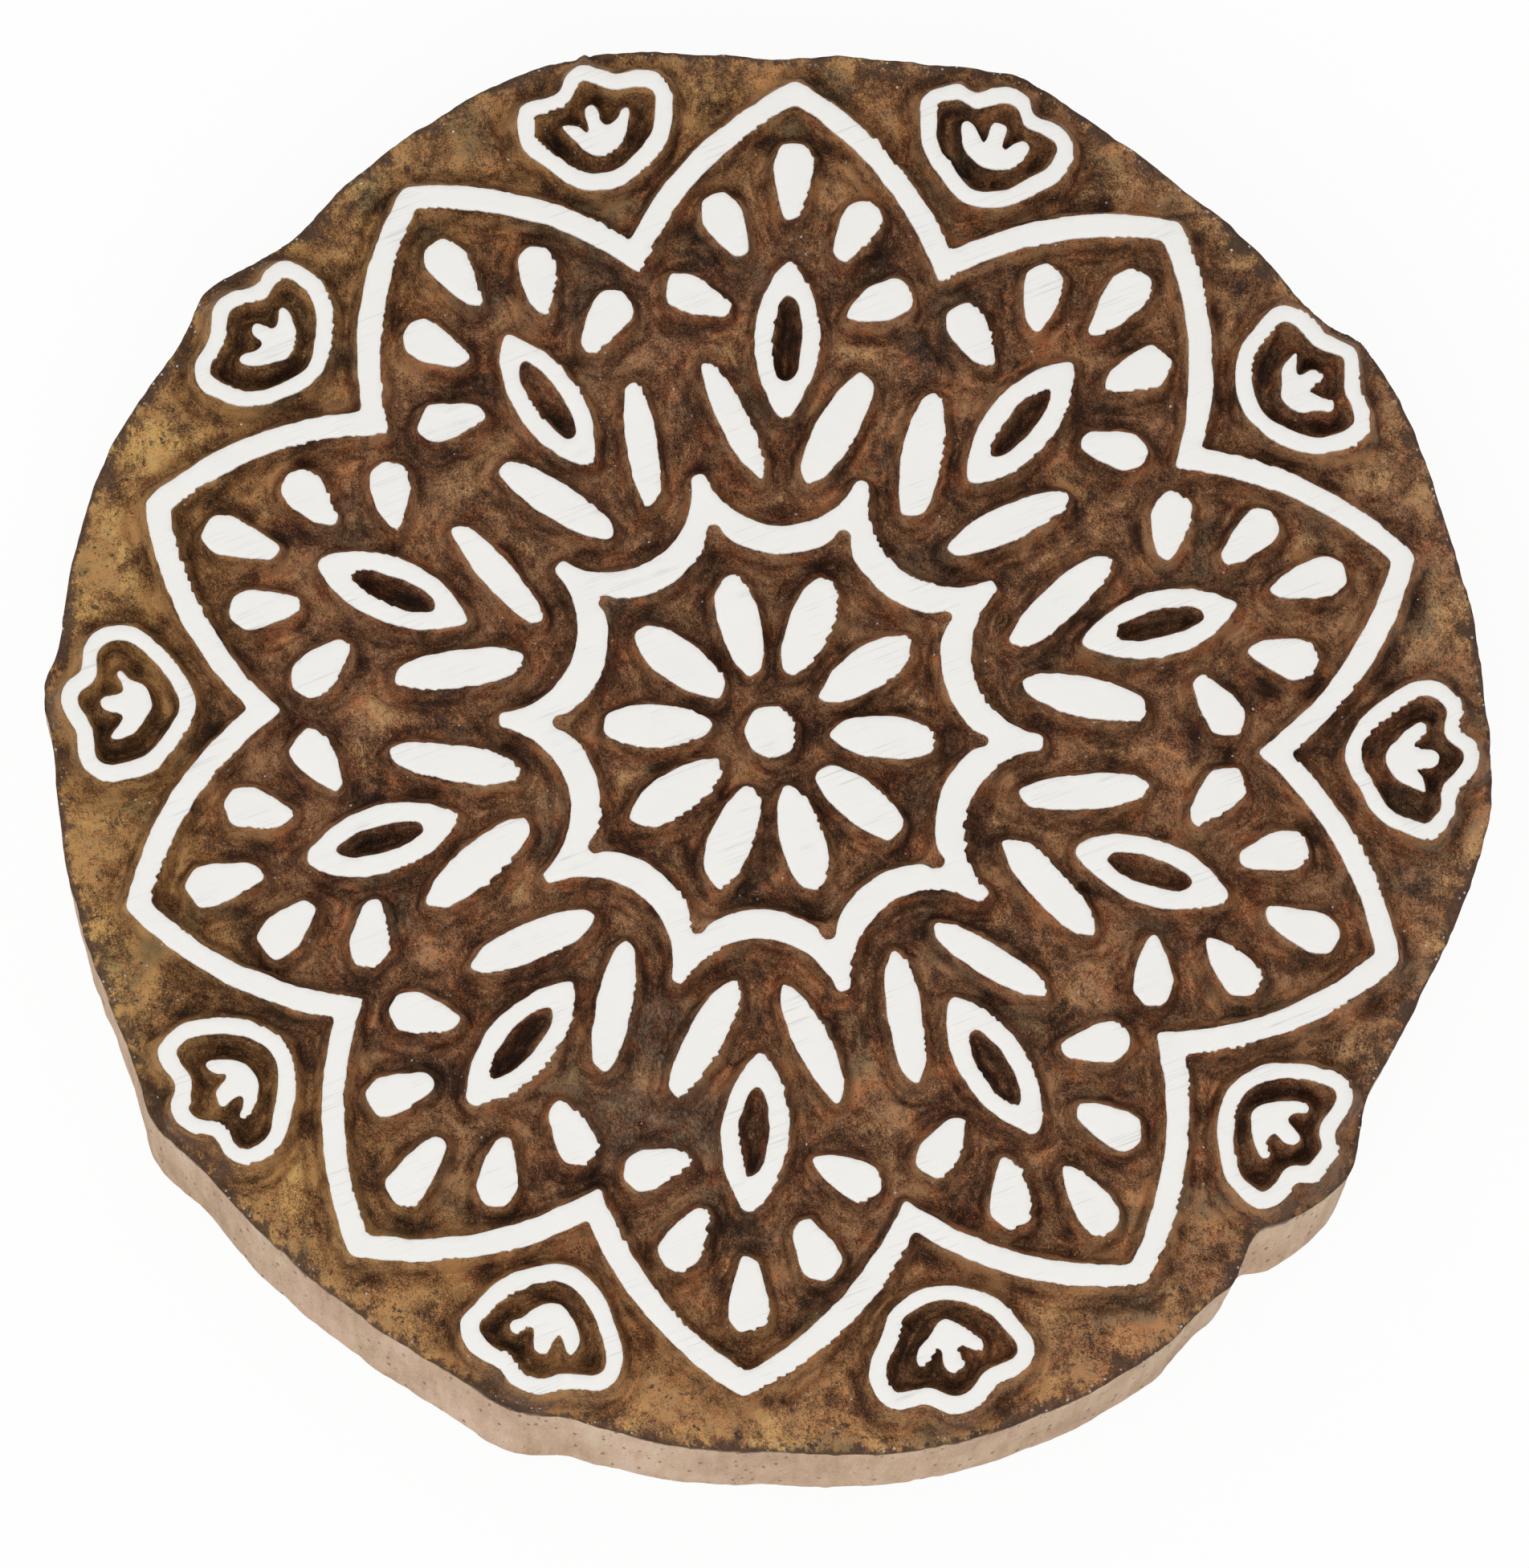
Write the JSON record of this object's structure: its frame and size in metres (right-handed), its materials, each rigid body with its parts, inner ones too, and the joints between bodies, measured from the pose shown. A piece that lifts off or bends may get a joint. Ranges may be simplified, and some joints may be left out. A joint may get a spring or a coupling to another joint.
{
  "type": "textile printing block",
  "caption": "Round hand-carved wooden block for printing cloth: a flat back, and a face of raised lotus ornament whose lands carry a white chalk coat.",
  "frame": {"origin": "middle of the pattern, on the flat back face", "axes": "+Z out of the carved printing face; +Y from the middle through the tip of the first petal"},
  "size_m": [0.1215, 0.1186, 0.03],
  "materials": {
    "carved_wood": "stained and oiled carved face, bare sawn sides",
    "chalk_coat": "matt, sanded flat"
  },
  "bodies": {
    "root": {"block": "carved_wood", "centre_dot_coat": "chalk_coat", "rosette_coat": "chalk_coat", "scalloped_ring_coat": "chalk_coat", "lotus_line_coat": "chalk_coat", "leaf_pair_coat_01": "chalk_coat", "leaf_pair_coat_02": "chalk_coat", "leaf_pair_coat_03": "chalk_coat", "leaf_pair_coat_04": "chalk_coat", "leaf_pair_coat_05": "chalk_coat", "leaf_pair_coat_06": "chalk_coat", "leaf_pair_coat_07": "chalk_coat", "leaf_pair_coat_08": "chalk_coat", "leaf_pair_coat_09": "chalk_coat", "leaf_pair_coat_10": "chalk_coat", "eye_coat_01": "chalk_coat", "eye_coat_02": "chalk_coat", "eye_coat_03": "chalk_coat", "eye_coat_04": "chalk_coat", "eye_coat_05": "chalk_coat", "eye_coat_06": "chalk_coat", "eye_coat_07": "chalk_coat", "eye_coat_08": "chalk_coat", "eye_coat_09": "chalk_coat", "eye_coat_10": "chalk_coat", "droplet_fan_coat_01": "chalk_coat", "droplet_fan_coat_02": "chalk_coat", "droplet_fan_coat_03": "chalk_coat", "droplet_fan_coat_04": "chalk_coat", "droplet_fan_coat_05": "chalk_coat", "droplet_fan_coat_06": "chalk_coat", "droplet_fan_coat_07": "chalk_coat", "droplet_fan_coat_08": "chalk_coat", "droplet_fan_coat_09": "chalk_coat", "droplet_fan_coat_10": "chalk_coat", "bud_outline_coat_01": "chalk_coat", "bud_outline_coat_02": "chalk_coat", "bud_outline_coat_03": "chalk_coat", "bud_outline_coat_04": "chalk_coat", "bud_outline_coat_05": "chalk_coat", "bud_outline_coat_06": "chalk_coat", "bud_outline_coat_07": "chalk_coat", "bud_outline_coat_08": "chalk_coat", "bud_outline_coat_09": "chalk_coat", "bud_outline_coat_10": "chalk_coat", "bud_heart_coat_01": "chalk_coat", "bud_heart_coat_02": "chalk_coat", "bud_heart_coat_03": "chalk_coat", "bud_heart_coat_04": "chalk_coat", "bud_heart_coat_05": "chalk_coat", "bud_heart_coat_06": "chalk_coat", "bud_heart_coat_07": "chalk_coat", "bud_heart_coat_08": "chalk_coat", "bud_heart_coat_09": "chalk_coat", "bud_heart_coat_10": "chalk_coat"}
  },
  "joints": []
}
